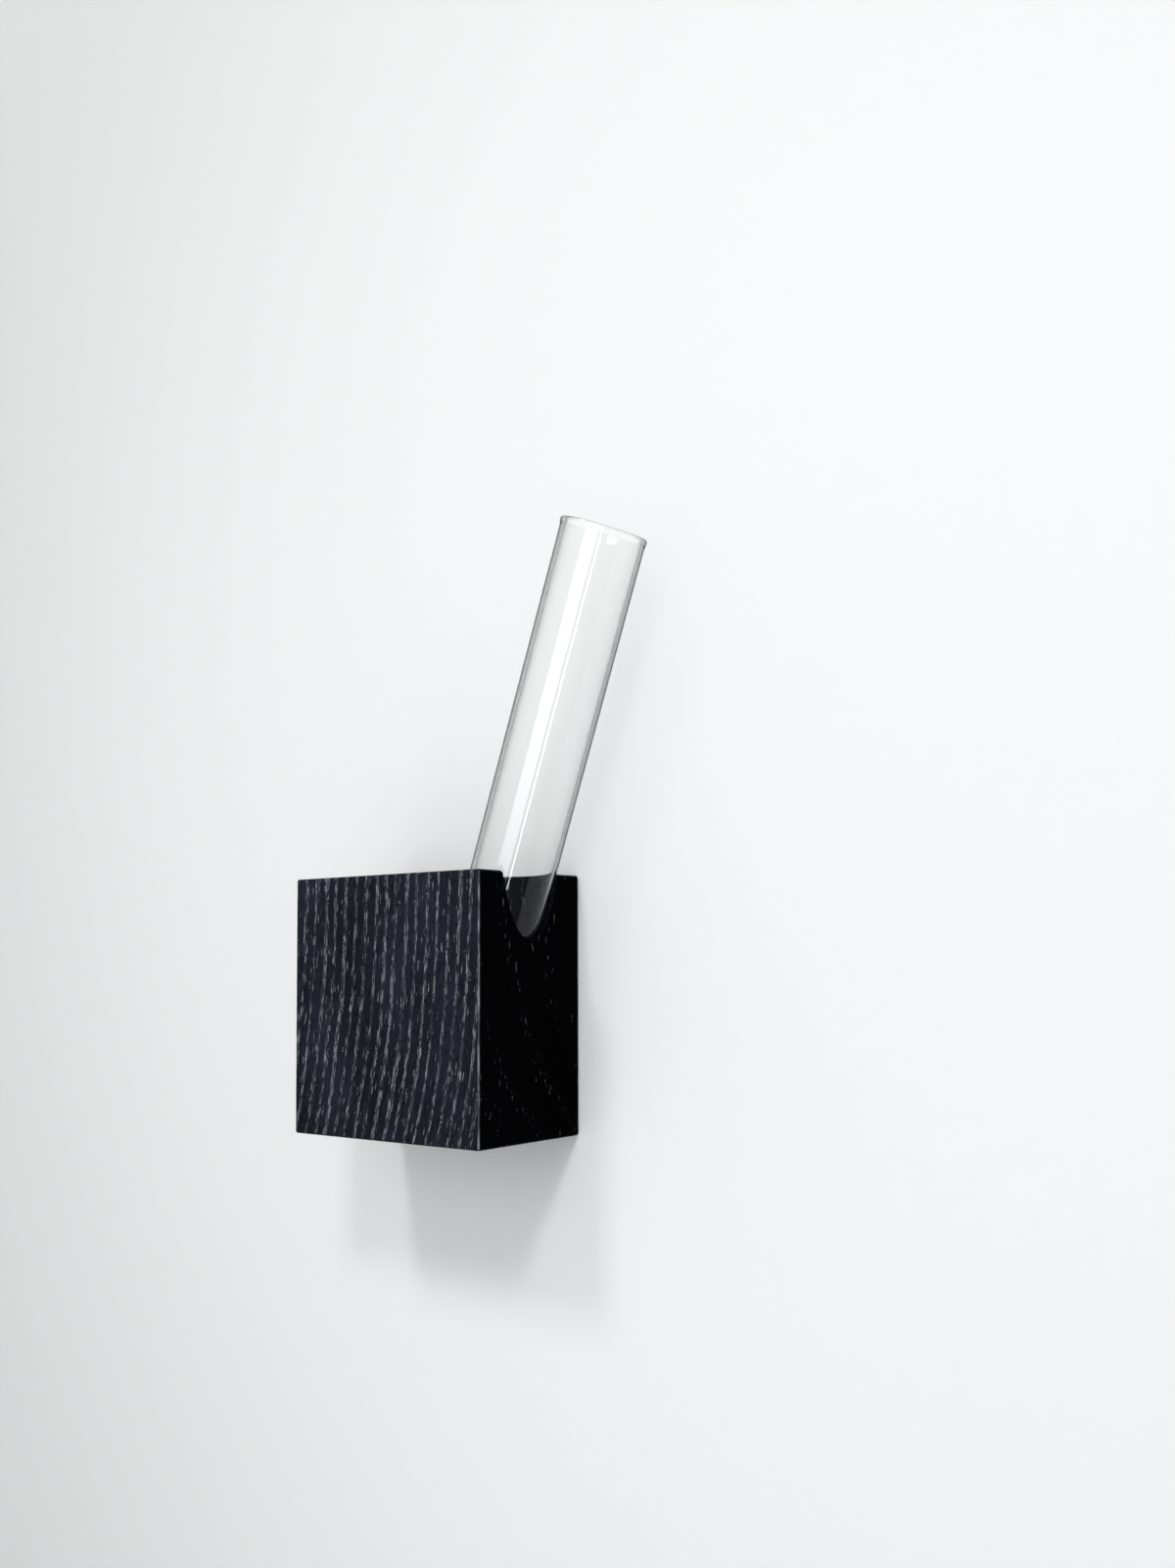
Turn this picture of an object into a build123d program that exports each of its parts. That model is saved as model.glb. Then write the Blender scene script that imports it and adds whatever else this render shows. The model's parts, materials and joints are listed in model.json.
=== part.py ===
from build123d import *
import math
import os

# Flower tube for a wall: a round-bottomed glass tube stands at a slant in a blind bore of a
# stained ash block, and the block hangs on a screw in the wall by a steel keyhole plate that
# is let into its back. Lengths are in millimetres and angles in degrees. The wall is the
# plane Y = 0 and the front of the block faces -Y, with +X to the right and +Z up. The origin
# is the centre of the block's back face.

# Wood block, with the same small chamfer on every edge and round the bore's mouth
block_width = 95.0
block_depth = 52.0
block_height = 95.0
arris_chamfer = 0.6

# Glass tube, with a fire-polished rim that swells a little over the taper's length
tube_diameter = 30.0
tube_length = 200.0
tube_wall = 1.4
rim_swell = 0.3
rim_taper_length = 2.5

# Slanted blind bore. The inset runs in the top face, from the right side face in to the
# bore's axis. It is less than the bore's radius, so the bore opens the side face as well.
lean_angle = 20.0
mouth_inset = 8.5
bore_clearance = 1.0
wood_below_bore = 18.0
tube_seat_gap = 0.3

# Keyhole in the plate: the wall screw's head goes in at the round end, and its neck slides
# along the slot as the block comes down
keyhole_diameter = 10.0
keyhole_slot_width = 5.0
keyhole_travel = 8.0

# Keyhole plate, long enough for the keyhole with a screw above and a screw below it
plate_thickness = 2.0
plate_side_margin = 3.0
plate_end_margin = 2.2
plate_web = 2.1
plate_below_top = 4.5
plate_clearance = 0.2
plate_sink = 0.5

# Hollow behind the keyhole for the wall screw's head
head_room_clearance = 0.5
head_room_depth = 7.0

# Countersunk cross-head screws that hold the plate
screw_diameter = 3.0
screw_length = 12.0
screw_point_length = 3.0
screw_head_diameter = 5.8
screw_head_rim = 0.3
screw_clearance = 0.15
drive_width = 0.9
drive_length = 3.2
drive_depth = 1.0

# How far a cutting body runs past the surface that it opens
cut_overrun = 4.0

# The bore: its lowest corner leaves the wood below it, and its axis lies halfway through
# the block's depth
bore_radius = tube_diameter / 2 + bore_clearance
lean = math.radians(lean_angle)
lean_axis = Vector(math.sin(lean), 0, math.cos(lean))
lean_side = Vector(math.cos(lean), 0, -math.sin(lean))
mouth_point = Vector(block_width / 2 - mouth_inset, -block_depth / 2, block_height / 2)
floor_height = wood_below_bore + bore_radius * math.sin(lean) - block_height / 2
bore_depth = (mouth_point.Z - floor_height) / math.cos(lean)
floor_plane = Plane(origin=mouth_point - lean_axis * bore_depth, x_dir=lean_side, z_dir=lean_axis)

# The plate's outer face, with local X up, local Y to the right and its normal to the wall
plate_width = keyhole_diameter + 2 * plate_side_margin
screw_place = (keyhole_travel + keyhole_diameter + screw_head_diameter) / 2 + plate_web
plate_length = 2 * screw_place + screw_head_diameter + 2 * plate_end_margin
plate_height = block_height / 2 - plate_below_top - plate_length / 2
plate_outside = Plane(origin=(0, -plate_sink, plate_height), x_dir=(0, 0, 1), z_dir=(0, 1, 0))
plate_inside = plate_outside.offset(-plate_thickness)
screw_places = [Pos(-screw_place, 0, 0), Pos(screw_place, 0, 0)]


def bore_body():
    """The space of the bore, run on until its low side has cleared the top face."""
    run_on = bore_radius * math.tan(lean) + cut_overrun
    return floor_plane * extrude(Circle(bore_radius), bore_depth + run_on)


def plate_outline(clearance):
    """Outline of the plate with round ends, grown all round by a clearance."""
    return SlotOverall(plate_length + 2 * clearance, plate_width + 2 * clearance)


def keyhole_outline():
    """Round way in with a narrower slot that runs up from it."""
    way_in = Pos(-keyhole_travel / 2, 0) * Circle(keyhole_diameter / 2)
    return way_in + SlotCenterToCenter(keyhole_travel, keyhole_slot_width)


def screw_body(clearance):
    """Countersunk screw, head at the origin and point down, grown by a clearance."""
    head_radius = screw_head_diameter / 2 + clearance
    shank_radius = screw_diameter / 2 + clearance
    neck = -screw_head_rim - head_radius + shank_radius
    point_start = screw_point_length - screw_length - clearance
    outline = Polyline(
        (0, 0),
        (head_radius, 0),
        (head_radius, -screw_head_rim),
        (shank_radius, neck),
        (shank_radius, point_start),
        (0, point_start - screw_point_length),
        close=True,
    )
    return revolve(Plane.XZ * make_face(outline), Axis.Z)


def wood_block():
    """Ash block with the slanted bore in its top and side, and the plate's recess in its back."""
    body = Pos(0, -block_depth / 2, 0) * Box(block_width, block_depth, block_height)
    body -= bore_body()
    along_bore = Axis(floor_plane.origin, lean_axis)
    floor_rim = body.faces().filter_by(along_bore).edges()
    bore_seam = body.edges().filter_by(along_bore)
    body = chamfer(body.edges() - floor_rim - bore_seam, arris_chamfer)

    recess_depth = plate_thickness + plate_sink + cut_overrun
    body -= plate_inside * extrude(plate_outline(plate_clearance), recess_depth)
    head_room_width = keyhole_diameter + 2 * head_room_clearance
    head_room = SlotCenterToCenter(keyhole_travel, head_room_width)
    body -= plate_inside * extrude(head_room, -head_room_depth)
    for place in screw_places:
        body -= plate_outside * place * screw_body(screw_clearance)
    return body


def glass_tube():
    """Tube of even wall with a round bottom, standing on the floor of the bore."""
    outer_radius = tube_diameter / 2
    inner_radius = outer_radius - tube_wall
    rim_radius = (tube_wall + rim_swell) / 2
    rim_height = tube_length - rim_radius
    taper_start = rim_height - rim_taper_length
    with BuildPart() as tube:
        with BuildSketch(Plane.XZ):
            with BuildLine():
                CenterArc((0, outer_radius), outer_radius, 270, 90)
                Line((outer_radius, outer_radius), (outer_radius, taper_start))
                Line((outer_radius, taper_start), (outer_radius + rim_swell, rim_height))
                CenterArc((inner_radius + rim_radius, rim_height), rim_radius, 0, 180)
                Line((inner_radius, rim_height), (inner_radius, outer_radius))
                CenterArc((0, outer_radius), inner_radius, 270, 90)
                Line((0, tube_wall), (0, 0))
            make_face()
        revolve(axis=Axis.Z)
    return floor_plane * Pos(0, 0, tube_seat_gap) * tube.part


def hanger_plate():
    """Steel plate with the keyhole between two countersunk screw holes."""
    body = extrude(plate_outline(0) - keyhole_outline(), plate_thickness)
    body = plate_inside * body
    for place in screw_places:
        body -= plate_outside * place * screw_body(screw_clearance)
    return body


def hanger_screw():
    """One countersunk screw with a cross recess in its head."""
    blade = Rectangle(drive_length, drive_width)
    cross = blade + Rot(0, 0, 90) * blade
    return screw_body(0) - extrude(cross, -drive_depth)


def hanger_screws():
    """The plate's two screws, each in its place."""
    return Compound([plate_outside * place * hanger_screw() for place in screw_places])


pieces = {
    "wood_block": wood_block(),
    "glass_tube": glass_tube(),
    "hanger_plate": hanger_plate(),
    "hanger_screws": hanger_screws(),
}

os.makedirs("parts", exist_ok=True)
for name, piece in pieces.items():
    export_step(piece, f"parts/{name}.step")
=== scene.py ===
"""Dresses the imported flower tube: a leaning glass tube in a black stained ash block on a wall."""

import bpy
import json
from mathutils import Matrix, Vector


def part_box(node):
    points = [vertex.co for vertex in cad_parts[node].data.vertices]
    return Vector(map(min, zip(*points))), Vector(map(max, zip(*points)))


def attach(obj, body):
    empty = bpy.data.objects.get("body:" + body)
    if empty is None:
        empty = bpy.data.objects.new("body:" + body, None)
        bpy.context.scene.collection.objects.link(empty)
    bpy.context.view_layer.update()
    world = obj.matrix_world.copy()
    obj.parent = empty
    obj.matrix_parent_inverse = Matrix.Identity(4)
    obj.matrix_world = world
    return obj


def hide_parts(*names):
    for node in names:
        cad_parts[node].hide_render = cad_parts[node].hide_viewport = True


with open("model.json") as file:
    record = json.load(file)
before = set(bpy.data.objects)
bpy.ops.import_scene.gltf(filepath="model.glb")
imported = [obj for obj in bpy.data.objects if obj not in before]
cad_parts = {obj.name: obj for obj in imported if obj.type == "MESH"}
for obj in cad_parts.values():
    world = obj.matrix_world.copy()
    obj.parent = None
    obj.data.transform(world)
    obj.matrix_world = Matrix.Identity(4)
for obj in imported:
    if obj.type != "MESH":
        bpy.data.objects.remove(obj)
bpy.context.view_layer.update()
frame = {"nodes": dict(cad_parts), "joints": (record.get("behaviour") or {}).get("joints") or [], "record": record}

import json
import math

import bmesh
import bpy
from bpy.props import FloatProperty, FloatVectorProperty, IntProperty, PointerProperty
from mathutils import Matrix, Vector

bl_info = {
    "name": "Wall flower tube",
    "version": (1, 0, 0),
    "blender": (4, 5, 0),
    "location": "View3D > Sidebar > Flower tube",
    "description": "Makes a glass flower tube in a stained ash block that hangs on a wall",
    "category": "Add Mesh",
}

MM = 0.001

# Points nearer to each other than this are one point
MERGE = 0.001 * MM

# A cut goes through a point that lies nearer to it than this
CUT_MERGE = 0.0001 * MM

# A point nearer to a plane than this lies on it
ON_PLANE = 0.005 * MM

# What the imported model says: the block's box, the tube's axis and the space inside the tube
BLOCK_LOW, BLOCK_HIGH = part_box("wood_block")
SCREWS_LOW, SCREWS_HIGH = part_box("hanger_screws")
LEAN = Vector(frame["joints"][0]["axis"]).normalized()
MOUNTS = {mount["name"]: mount for mount in frame["record"]["mounts"]}
TUBE_MIDDLE = Vector(MOUNTS["tube_mouth"]["pos_m"])
TUBE_INSIDE = MOUNTS["tube_mouth"]["dims"]["r_mm"] * MM

# The block's bore runs along the tube's axis
BORE_RADIUS = 16.0 * MM


def along_tube(point):
    """Height of a point along the tube's axis, from the middle of its straight inside."""
    return (Vector(point) - TUBE_MIDDLE).dot(LEAN)


def off_bore(point):
    """Distance of a point from the wall of the bore, outwards."""
    return (point - TUBE_MIDDLE - LEAN * along_tube(point)).length - BORE_RADIUS


TUBE_HEIGHTS = [along_tube(v.co) for v in frame["nodes"]["glass_tube"].data.vertices]
TUBE_TIP = TUBE_MIDDLE + LEAN * min(TUBE_HEIGHTS)
TUBE_LENGTH = max(TUBE_HEIGHTS) - min(TUBE_HEIGHTS)


# Sizes and colours


class BlockLook(bpy.types.PropertyGroup):
    """Grain, pores and stain of the wood block."""

    arris: FloatProperty(
        name="Arris", description="Width of the chamfer on the block's edges",
        default=0.6 * MM, min=0.0, unit="LENGTH", precision=5)
    ring_width: FloatProperty(
        name="Ring width", description="Mean distance between growth rings",
        default=4.9 * MM, min=1.0 * MM, unit="LENGTH", precision=5)
    grain_drift: FloatProperty(
        name="Grain drift", description="How far the grain runs to the left from top to bottom",
        default=12.0 * MM, min=0.0, unit="LENGTH", precision=5)
    relief: FloatProperty(
        name="Relief", description="How far soft early wood is brushed down below hard late wood",
        default=0.12 * MM, min=0.0, unit="LENGTH", precision=6)
    stain: FloatVectorProperty(
        name="Stain", description="Colour of the stained wood",
        default=(0.0110, 0.0123, 0.0186), min=0.0, max=1.0, size=3, subtype="COLOR")
    pore: FloatVectorProperty(
        name="Pores", description="Colour of the open pores",
        default=(0.296, 0.305, 0.336), min=0.0, max=1.0, size=3, subtype="COLOR")


class TubeLook(bpy.types.PropertyGroup):
    """Sizes and colour of the glass tube."""

    radius: FloatProperty(
        name="Radius", description="Outer radius of the tube",
        default=15.0 * MM, min=5.0 * MM, unit="LENGTH", precision=5)
    rim_swell: FloatProperty(
        name="Rim swell", description="How far the fire-polished rim stands out of the tube",
        default=0.3 * MM, min=0.0, unit="LENGTH", precision=5)
    rim_taper: FloatProperty(
        name="Rim taper", description="Length over which the rim swells",
        default=2.5 * MM, min=0.1 * MM, unit="LENGTH", precision=5)
    segments: IntProperty(
        name="Segments", description="Faces round the tube", default=160, min=16)
    tint: FloatVectorProperty(
        name="Tint", description="Colour that the clear glass gives to light",
        default=(0.800, 0.825, 0.820), min=0.0, max=1.0, size=3, subtype="COLOR")
    # Painted shade: the glass takes this colour where its wall is seen edge on
    edge: FloatVectorProperty(
        name="Edge", description="Colour of the glass where its wall is seen edge on",
        default=(0.26, 0.28, 0.29), min=0.0, max=1.0, size=3, subtype="COLOR")


class HangerLook(bpy.types.PropertyGroup):
    """Edges and finish of the keyhole plate and its screws."""

    edge_round: FloatProperty(
        name="Edge round", description="Rounding of the plate's stamped edges",
        default=0.22 * MM, min=0.0, unit="LENGTH", precision=6)
    thread_pitch: FloatProperty(
        name="Thread pitch", description="Distance between the turns of the screws' thread",
        default=1.35 * MM, min=0.3 * MM, unit="LENGTH", precision=5)
    zinc: FloatVectorProperty(
        name="Zinc", description="Colour of the plated sheet steel",
        default=(0.60, 0.61, 0.62), min=0.0, max=1.0, size=3, subtype="COLOR")
    screw_steel: FloatVectorProperty(
        name="Screw steel", description="Colour of the plated screws",
        default=(0.50, 0.51, 0.53), min=0.0, max=1.0, size=3, subtype="COLOR")


class StageLook(bpy.types.PropertyGroup):
    """Wall, floor and lamps."""

    wall: FloatVectorProperty(
        name="Wall", description="Colour of the wall and floor",
        default=(0.90, 0.90, 0.905), min=0.0, max=1.0, size=3, subtype="COLOR")
    key_power: FloatProperty(
        name="Key power", description="Power of each of the two lamps high in front",
        default=27.0, min=0.0, unit="POWER")
    window_power: FloatProperty(
        name="Window power", description="Power of the broad tall lamp in front",
        default=11.0, min=0.0, unit="POWER")
    window_shine: FloatProperty(
        name="Window shine", description="Power of the lamp that draws a soft band on the glass",
        default=14.0, min=0.0, unit="POWER")
    strip_shine: FloatProperty(
        name="Strip shine", description="Power of the lamp that draws a fine line on the glass",
        default=3.0, min=0.0, unit="POWER")
    back_power: FloatProperty(
        name="Back power", description="Power of the lamp behind the wall, for the hanger",
        default=6.0, min=0.0, unit="POWER")
    ambient: FloatProperty(
        name="Ambient", description="Brightness of the room round the object",
        default=0.42, min=0.0)


# Node helpers


def toned(colour, share=1.0):
    """A colour as four numbers, made darker or paler by a share."""
    return (*(min(1.0, c * share) for c in colour), 1.0)


class Tree:
    """Adds nodes to a shader or geometry tree. A value may be a number, a tuple or a socket."""

    NODES_IN_ROW = 9
    COLUMN, ROW = 220, 240

    def __init__(self, tree):
        self.tree = tree
        self.count = 0

    def add(self, kind, settings=None, **inputs):
        """Adds a node with its settings and with values for its inputs."""
        node = self.tree.nodes.new(kind)
        self.count += 1
        row, column = divmod(self.count, self.NODES_IN_ROW)
        node.location = (self.COLUMN * column, -self.ROW * row)
        for name, value in (settings or {}).items():
            setattr(node, name, value)
        for name, value in inputs.items():
            self.plug(value, node.inputs[name.replace("_", " ")])
        return node

    def get(self, kind, settings=None, output=0, **inputs):
        """Adds a node and gives one of its outputs."""
        return self.add(kind, settings, **inputs).outputs[output]

    def plug(self, value, socket):
        if isinstance(value, bpy.types.NodeSocket):
            self.tree.links.new(value, socket)
        elif value is not None:
            socket.default_value = value

    def math(self, operation, *values):
        node = self.add("ShaderNodeMath", {"operation": operation})
        for value, socket in zip(values, node.inputs):
            self.plug(value, socket)
        return node.outputs[0]

    def chain(self, operation, first, *others):
        for other in others:
            first = self.math(operation, first, other)
        return first

    def plus(self, *values):
        return self.chain("ADD", *values)

    def times(self, *values):
        return self.chain("MULTIPLY", *values)

    def minus(self, a, b):
        return self.math("SUBTRACT", a, b)

    def over(self, a, b):
        return self.math("DIVIDE", a, b)

    def most(self, a, b):
        return self.math("MAXIMUM", a, b)

    def size_of(self, value):
        return self.math("ABSOLUTE", value)

    def without(self, value, share=1.0):
        """1 less a share of a value."""
        return self.minus(1.0, self.times(value, share))

    def vector(self, operation, a, b, output=0):
        node = self.add("ShaderNodeVectorMath", {"operation": operation})
        self.plug(a, node.inputs[0])
        self.plug(b, node.inputs[1])
        return node.outputs[output]

    def combine(self, x, y, z):
        return self.get("ShaderNodeCombineXYZ", X=x, Y=y, Z=z)

    def split(self, vector):
        return self.add("ShaderNodeSeparateXYZ", Vector=vector).outputs

    def step(self, value, low, high, bottom=0.0, top=1.0):
        """Smooth step from bottom at low to top at high."""
        return self.get("ShaderNodeMapRange", {"interpolation_type": "SMOOTHSTEP"}, Value=value,
                        From_Min=low, From_Max=high, To_Min=bottom, To_Max=top)

    def noise(self, vector, stretch=None, detail=0.0):
        """Soft noise at a place, with this many changes to the metre along each axis."""
        if stretch:
            vector = self.vector("MULTIPLY", vector, stretch)
        return self.get("ShaderNodeTexNoise", {"noise_dimensions": "3D"}, Vector=vector,
                        Scale=1.0, Detail=detail, Roughness=0.5)

    def swing(self, noise, size):
        """Noise turned into a push to either side."""
        return self.times(self.minus(noise, 0.5), size)

    def attribute(self, name):
        return self.get("ShaderNodeAttribute", {"attribute_name": name}, "Fac")

    def mix(self, share, a, b):
        node = self.add("ShaderNodeMix", {"data_type": "RGBA"})
        self.plug(share, node.inputs[0])
        self.plug(a, node.inputs[6])
        self.plug(b, node.inputs[7])
        return node.outputs[2]

    def mix_shaders(self, share, a, b):
        node = self.add("ShaderNodeMixShader")
        for value, socket in zip((share, a, b), node.inputs):
            self.plug(value, socket)
        return node.outputs[0]

    def bump(self, height, strength, distance):
        return self.get("ShaderNodeBump", Height=height, Strength=strength, Distance=distance)

    def place(self):
        return self.get("ShaderNodeTexCoord", output="Object")

    def rays(self):
        return self.add("ShaderNodeLightPath").outputs


def new_material(name):
    """A new material, with its tree and the sockets that the tree ends in."""
    material = bpy.data.materials.new(name)
    material.use_nodes = True
    material.node_tree.nodes.clear()
    tree = Tree(material.node_tree)
    return material, tree, tree.add("ShaderNodeOutputMaterial").inputs


# Grain of the ash

# Where the heart of the tree lies from the block's back centre, seen from above
HEART = (-0.260, 0.060)

# Slow waves of the grain, and how far they push it sideways
GRAIN_WAVES = (26.0, 26.0, 26.0)
WAVE_PUSH = 3.4 * MM

# Uneven growth: how often it changes to the metre of radius, and by how much
GROWTH_CHANGES = 130.0
GROWTH_SWING = 2.2 * MM

# Steps between one ring's draw of chance and the next, and changes of a ring's strength up it
RING_STEP = 7.31
STRENGTH_CHANGES = 28.0

# Share of a ring that is early wood, at least, and what chance adds to it
EARLY_SHARE = 0.21
EARLY_MORE = 0.36

# Share of a ring over which its early wood starts, and of the early wood where it begins to end
EARLY_STARTS = 0.06
EARLY_FADES = 0.6


def add_grain(tree, position, ring_width, drift):
    """Ring and pore fields of ash at a position, for a shader or for geometry nodes alike.

    The rings are shells round the heart that drift sideways down the block. Returns the share
    of early wood, the warped position and the strength of the ring."""
    x, y, z = tree.split(position)
    down = tree.over(tree.minus(BLOCK_HIGH.z, z), BLOCK_HIGH.z - BLOCK_LOW.z)
    sway = tree.swing(tree.noise(position, GRAIN_WAVES, detail=1.0), WAVE_PUSH)
    grain_x = tree.plus(x, tree.times(down, down, drift), sway)
    across = tree.minus(grain_x, HEART[0])
    back = tree.minus(y, HEART[1])
    radius = tree.math("SQRT", tree.plus(tree.times(across, across), tree.times(back, back)))
    uneven = tree.noise(tree.combine(tree.times(radius, GROWTH_CHANGES), 0.0, 0.0))
    rings = tree.over(tree.plus(radius, tree.swing(uneven, GROWTH_SWING)), ring_width)
    phase = tree.math("FRACT", rings)
    number = tree.times(tree.math("FLOOR", rings), RING_STEP)
    vigour = tree.noise(tree.combine(number, 0.5, tree.times(z, STRENGTH_CHANGES)))
    strength = tree.step(vigour, 0.30, 0.58, 0.52, 1.0)
    chance = tree.noise(tree.combine(number, 3.5, 0.5))
    share = tree.plus(EARLY_SHARE, tree.times(chance, EARLY_MORE))
    early = tree.times(tree.step(phase, 0.0, EARLY_STARTS),
                       tree.step(phase, tree.times(share, EARLY_FADES), share, 1.0, 0.0))
    return early, tree.combine(grain_x, y, z), strength


# Pores: their size, how ragged their sides are, and the share of cells along the grain that
# hold one in late wood and, on top of that, in early wood
PORE_WIDTH = 0.39 * MM
PORE_LENGTH = 3.7 * MM
PORE_RAGGED = 0.50 * MM
LATE_PORES = 0.04
EARLY_PORES = 0.88

# Painted shade on the faces that end the rings: what they lose of their pores, of the paleness of pores
# and of open wood, and of the stain's lighter colour, and how far the wall of the bore is shaded like them
FLANK_SHADE_PORES = 0.92
FLANK_SHADE_PALE = 0.66
FLANK_SHADE_SOFT = 0.98
FLANK_SHADE_SHARE = 0.96
BORE_SHADE = 0.85

# Size of a pore in its cell at least, what chance adds to it, and how soft its edge is
PORE_LEAST, PORE_MORE, PORE_EDGE = 0.48, 0.30, 0.24

# Shares of the stain's colour in dark and pale fibre and in the painted shade on the faces that end
# the rings, and of the pores' colour in the painted highlight along the arrises, partly rubbed wear
DARK_FIBRE, PALE_FIBRE, FLANK_SHADE_TONE = 0.60, 1.75, 0.03
WORN_HIGHLIGHT_TONE = 0.85

# How strongly the stained wood mirrors, and the height of its fibre and pores
WOOD_SHINE = 0.012
WOOD_BUMP = 0.10 * MM

# Changes to the metre along X, Y and Z
RAGGED = (1400.0, 1400.0, 900.0)
PORE_GAPS = (700.0, 700.0, 260.0)
FIBRE = (2200.0, 2200.0, 420.0)
STAIN_CLOUD = (38.0, 38.0, 20.0)
SPECKLE = (5200.0, 5200.0, 1300.0)
# Breaks in the painted highlight along the arrises, partly rubbed wear
RUBBED_HIGHLIGHT = (420.0, 420.0, 110.0)


def stained_ash(look):
    """Black stained open-pored ash: pale broken pores in the early wood, calm late wood, painted shade on the
    faces that end the rings and in the bore, and a painted highlight along the arrises.
    """
    material, tree, ends = new_material("black_stained_ash")
    place = tree.place()
    early, grain, strength = add_grain(tree, place, look.ring_width, look.grain_drift)
    open_wood = tree.times(early, strength)

    # Painted shade: the faces that end the rings and the wall of the bore are darkened and show few pores
    facing = tree.split(tree.get("ShaderNodeNewGeometry", output="True Normal"))
    flank = tree.most(tree.times(facing[0], facing[0]),
                      tree.times(tree.attribute("bored"), BORE_SHADE))

    # Pores are long cells along the grain, ragged at their sides and broken by gaps
    push = tree.times(tree.noise(grain, RAGGED, detail=1.0), PORE_RAGGED)
    cells = tree.vector("MULTIPLY", tree.vector("ADD", grain, tree.combine(push, push, 0.0)),
                        (1 / PORE_WIDTH, 1 / PORE_WIDTH, 1 / PORE_LENGTH))
    voronoi = tree.add("ShaderNodeTexVoronoi", {"voronoi_dimensions": "3D", "feature": "F1"},
                       Vector=cells, Scale=1.0)
    chance, size, tone = tree.split(voronoi.outputs["Color"])
    reach = tree.plus(PORE_LEAST, tree.times(size, PORE_MORE))
    inside = tree.step(voronoi.outputs["Distance"], tree.minus(reach, PORE_EDGE), reach, 1.0, 0.0)
    density = tree.times(tree.plus(LATE_PORES, tree.times(open_wood, EARLY_PORES)),
                         tree.without(flank, FLANK_SHADE_PORES))
    gaps = tree.step(tree.noise(grain, PORE_GAPS), 0.30, 0.48, 0.2, 1.0)
    pore = tree.times(inside, tree.math("LESS_THAN", chance, density), gaps)

    # Fine fibre and slow cloudiness of the stain
    fibre = tree.noise(grain, FIBRE, detail=2.0)
    cloud = tree.noise(place, STAIN_CLOUD, detail=2.0)
    shade = tree.plus(tree.times(fibre, 0.85), tree.times(cloud, 0.75))
    wood = tree.mix(tree.step(shade, 0.55, 1.05), toned(look.stain, DARK_FIBRE),
                    toned(look.stain, PALE_FIBRE))
    # Painted shade: the faces that end the rings and the bore's wall turn nearly black
    wood = tree.mix(tree.times(flank, FLANK_SHADE_SHARE), wood, toned(look.stain, FLANK_SHADE_TONE))

    # Pores differ in tone and are speckled, and the open wood between them is a little pale. Both fade on the
    # faces that end the rings and in the bore, painted shade.
    speckle = tree.step(tree.noise(grain, SPECKLE, detail=1.0), 0.30, 0.62, 0.35, 1.0)
    pale = tree.times(pore, tree.step(tone, 0.0, 1.0, 0.42, 1.0), speckle,
                      tree.without(flank, FLANK_SHADE_PALE))
    soft = tree.times(open_wood, tree.step(fibre, 0.35, 0.70, 0.0, 0.11),
                      tree.without(flank, FLANK_SHADE_SOFT))
    coloured = tree.mix(tree.most(pale, soft), wood, toned(look.pore))

    # Painted highlight along the arrises, partly rubbed wear: they are paler, the upright ones most, along their
    # middle line
    rub_and_highlight = tree.step(tree.noise(place, RUBBED_HIGHLIGHT, detail=2.0), 0.42, 0.68, 0.22, 1.0)
    upright = tree.step(tree.without(tree.size_of(facing[2])), 0.25, 0.95, 0.14, 1.0)
    x, y, _ = tree.split(place)
    from_side = tree.minus(BLOCK_HIGH.x, tree.size_of(x))
    off_middle = tree.size_of(tree.minus(from_side, tree.minus(y, BLOCK_LOW.y)))
    line = tree.step(off_middle, 0.2 * look.arris, 0.75 * look.arris, 1.0, 0.3)
    wear_and_highlight = tree.times(tree.attribute("arris"), rub_and_highlight, upright, line)
    colour = tree.mix(wear_and_highlight, coloured, toned(look.pore, WORN_HIGHLIGHT_TONE))

    normal = tree.bump(tree.minus(tree.times(fibre, 0.20), pore), 0.55, WOOD_BUMP)
    rough = tree.most(tree.step(pore, 0.0, 1.0, 0.60, 0.78), flank)
    shine = tree.get("ShaderNodeBsdfPrincipled", Base_Color=colour, Normal=normal,
                     Roughness=rough, Specular_IOR_Level=WOOD_SHINE)
    tree.plug(shine, ends["Surface"])
    return material


# Meshes

# Faces that turn less than this from one to the next are one flat face
FLAT_WITHIN = math.radians(0.3)


def merged_mesh(node, name):
    """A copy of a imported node's mesh, its loose triangles joined and its flat faces whole."""
    mesh = frame["nodes"][node].data.copy()
    mesh.name = name
    mesh.materials.clear()
    for layer in list(mesh.uv_layers):
        mesh.uv_layers.remove(layer)
    if "custom_normal" in mesh.attributes:
        mesh.attributes.remove(mesh.attributes["custom_normal"])
    bm = bmesh.new()
    bm.from_mesh(mesh)
    bmesh.ops.remove_doubles(bm, verts=bm.verts, dist=MERGE)
    bmesh.ops.dissolve_limit(bm, angle_limit=FLAT_WITHIN, verts=bm.verts, edges=bm.edges)
    return mesh, bm


def finish_mesh(mesh, bm):
    """Writes smooth shaded faces back to a mesh."""
    for f in bm.faces:
        f.smooth = True
    bm.to_mesh(mesh)
    bm.free()


def new_piece(name, data=None):
    piece = bpy.data.objects.new(name, data or bpy.data.meshes.new(name))
    bpy.context.scene.collection.objects.link(piece)
    return piece


def made_plain(piece):
    """Replaces a piece's mesh by its evaluated one and removes its modifiers."""
    bpy.context.view_layer.update()
    evaluated = piece.evaluated_get(bpy.context.evaluated_depsgraph_get())
    mesh = bpy.data.meshes.new_from_object(evaluated)
    if mesh.materials and mesh.materials[0] is None:
        mesh.materials.pop(index=0)
    piece.modifiers.clear()
    old = piece.data
    piece.data = mesh
    bpy.data.meshes.remove(old)
    mesh.name = piece.name


# Kind of a tree's input, by its starting value
SOCKETS = {float: "NodeSocketFloat", int: "NodeSocketInt", tuple: "NodeSocketVector",
           type(None): "NodeSocketMaterial"}


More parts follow.
